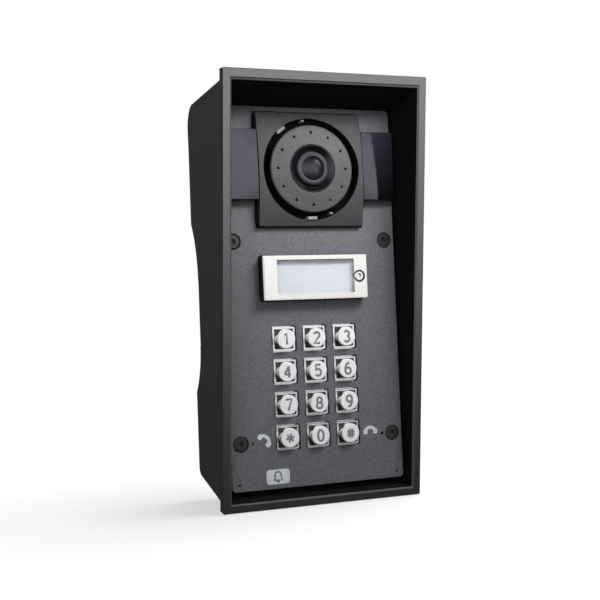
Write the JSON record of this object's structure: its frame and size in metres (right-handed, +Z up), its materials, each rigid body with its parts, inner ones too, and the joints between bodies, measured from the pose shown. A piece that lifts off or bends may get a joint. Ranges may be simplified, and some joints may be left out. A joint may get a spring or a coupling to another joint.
{
  "type": "door intercom panel",
  "caption": "Wall-mounted metal door intercom with a deep slanted rain hood, camera, infrared windows, name-plate call button and numeric keypad.",
  "frame": {"origin": "centre of the four wall-screw holes, in the plane of the wall", "axes": "+Y into the wall (the front faces -Y), +Z up, +X to the right as seen from the front"},
  "size_m": [0.109, 0.083, 0.2169],
  "materials": {
    "housing_coat": "fine textured dark graphite powder coat on die-cast aluminium",
    "panel_coat": "fine textured graphite grey powder coat",
    "bezel_coat": "fine textured graphite grey coat, a little smoother than the panel",
    "disc_coat": "satin graphite grey coat",
    "black_screw": "blackened steel",
    "smoked_plastic": "glossy infrared-pass smoked plastic with a violet cast",
    "gloss_black": "glossy black",
    "lens_trim": "glossy violet grey",
    "lens_glass": "coated lens glass",
    "black_plastic": "matt black moulded plastic",
    "satin_nickel": "satin nickel with an upright brushed grain",
    "key_chrome": "satin chromed metal",
    "clear_plastic": "clear polycarbonate",
    "label_card": "blank white backlit card",
    "grey_print": "light grey print",
    "rubber": "matt black rubber",
    "bright_steel": "bright steel",
    "circuit_board": "green solder resist",
    "chip_black": "black component moulding",
    "led_lens": "dark infrared diode lens",
    "green_plastic": "green terminal moulding",
    "blue_plastic": "blue relay case",
    "red_plastic": "red moulded plastic",
    "speaker_steel": "black painted pressed steel",
    "speaker_paper": "treated speaker cone",
    "magnet": "ferrite magnet"
  },
  "bodies": {
    "housing": {"housing": "housing_coat", "panel_gasket": "rubber", "front_panel": "panel_coat", "panel_screws": "black_screw", "camera_bezel": "bezel_coat", "ir_window_left": "smoked_plastic", "ir_window_right": "smoked_plastic", "camera_disc": "disc_coat", "baffle_ring": "black_plastic", "bezel_clips": "bright_steel", "lens_hood": "gloss_black", "lens_ring": "lens_trim", "lens_glass": "lens_glass", "lens_barrel": "black_plastic", "camera_board": "circuit_board", "image_sensor": "chip_black", "camera_bracket": "black_plastic", "camera_screws": "bright_steel", "ir_board_left": "circuit_board", "ir_board_right": "circuit_board", "ir_leds": "led_lens", "call_button_seal": "rubber", "call_switch": "chip_black", "key_guide": "black_plastic", "keypad_mat": "rubber", "keypad_board": "circuit_board", "keypad_screws": "bright_steel", "answer_mark": "grey_print", "hangup_mark": "grey_print", "badge": "grey_print", "main_board": "circuit_board", "board_chips": "chip_black", "terminal_blocks": "green_plastic", "network_socket": "bright_steel", "relay": "blue_plastic", "speaker_frame": "speaker_steel", "speaker_cone": "speaker_paper", "speaker_magnet": "magnet", "microphones": "bright_steel", "tamper_switch": "chip_black", "board_screws": "bright_steel", "cable_grommet": "rubber"},
    "call_button": {"call_button_base": "black_plastic", "call_button_frame": "satin_nickel", "name_window": "clear_plastic", "name_label": "label_card", "name_screw": "bright_steel"},
    "tamper_plunger": {"tamper_plunger": "red_plastic"},
    "key_1": {"key_1": "key_chrome"},
    "key_2": {"key_2": "key_chrome"},
    "key_3": {"key_3": "key_chrome"},
    "key_4": {"key_4": "key_chrome"},
    "key_5": {"key_5": "key_chrome"},
    "key_6": {"key_6": "key_chrome"},
    "key_7": {"key_7": "key_chrome"},
    "key_8": {"key_8": "key_chrome"},
    "key_9": {"key_9": "key_chrome"},
    "key_star": {"key_star": "key_chrome"},
    "key_0": {"key_0": "key_chrome"},
    "key_hash": {"key_hash": "key_chrome"}
  },
  "joints": [
    {"name": "call_button_press", "type": "slide", "parent": "housing", "child": "call_button", "axis": [0, 1, 0], "range_m": [0, 0.0008], "stiffness_N_per_m": 900, "springref_m": -0.0005},
    {"name": "key_1_press", "type": "slide", "parent": "housing", "child": "key_1", "axis": [0, 1, 0], "range_m": [0, 0.001], "stiffness_N_per_m": 600, "springref_m": -0.0005},
    {"name": "key_2_press", "type": "slide", "parent": "housing", "child": "key_2", "axis": [0, 1, 0], "range_m": [0, 0.001], "stiffness_N_per_m": 600, "springref_m": -0.0005},
    {"name": "key_3_press", "type": "slide", "parent": "housing", "child": "key_3", "axis": [0, 1, 0], "range_m": [0, 0.001], "stiffness_N_per_m": 600, "springref_m": -0.0005},
    {"name": "key_4_press", "type": "slide", "parent": "housing", "child": "key_4", "axis": [0, 1, 0], "range_m": [0, 0.001], "stiffness_N_per_m": 600, "springref_m": -0.0005},
    {"name": "key_5_press", "type": "slide", "parent": "housing", "child": "key_5", "axis": [0, 1, 0], "range_m": [0, 0.001], "stiffness_N_per_m": 600, "springref_m": -0.0005},
    {"name": "key_6_press", "type": "slide", "parent": "housing", "child": "key_6", "axis": [0, 1, 0], "range_m": [0, 0.001], "stiffness_N_per_m": 600, "springref_m": -0.0005},
    {"name": "key_7_press", "type": "slide", "parent": "housing", "child": "key_7", "axis": [0, 1, 0], "range_m": [0, 0.001], "stiffness_N_per_m": 600, "springref_m": -0.0005},
    {"name": "key_8_press", "type": "slide", "parent": "housing", "child": "key_8", "axis": [0, 1, 0], "range_m": [0, 0.001], "stiffness_N_per_m": 600, "springref_m": -0.0005},
    {"name": "key_9_press", "type": "slide", "parent": "housing", "child": "key_9", "axis": [0, 1, 0], "range_m": [0, 0.001], "stiffness_N_per_m": 600, "springref_m": -0.0005},
    {"name": "key_star_press", "type": "slide", "parent": "housing", "child": "key_star", "axis": [0, 1, 0], "range_m": [0, 0.001], "stiffness_N_per_m": 600, "springref_m": -0.0005},
    {"name": "key_0_press", "type": "slide", "parent": "housing", "child": "key_0", "axis": [0, 1, 0], "range_m": [0, 0.001], "stiffness_N_per_m": 600, "springref_m": -0.0005},
    {"name": "key_hash_press", "type": "slide", "parent": "housing", "child": "key_hash", "axis": [0, 1, 0], "range_m": [0, 0.001], "stiffness_N_per_m": 600, "springref_m": -0.0005},
    {"name": "tamper_press", "type": "slide", "parent": "housing", "child": "tamper_plunger", "axis": [0, 1, 0], "range_m": [0, 0.001], "stiffness_N_per_m": 150, "springref_m": -0.0005}
  ]
}
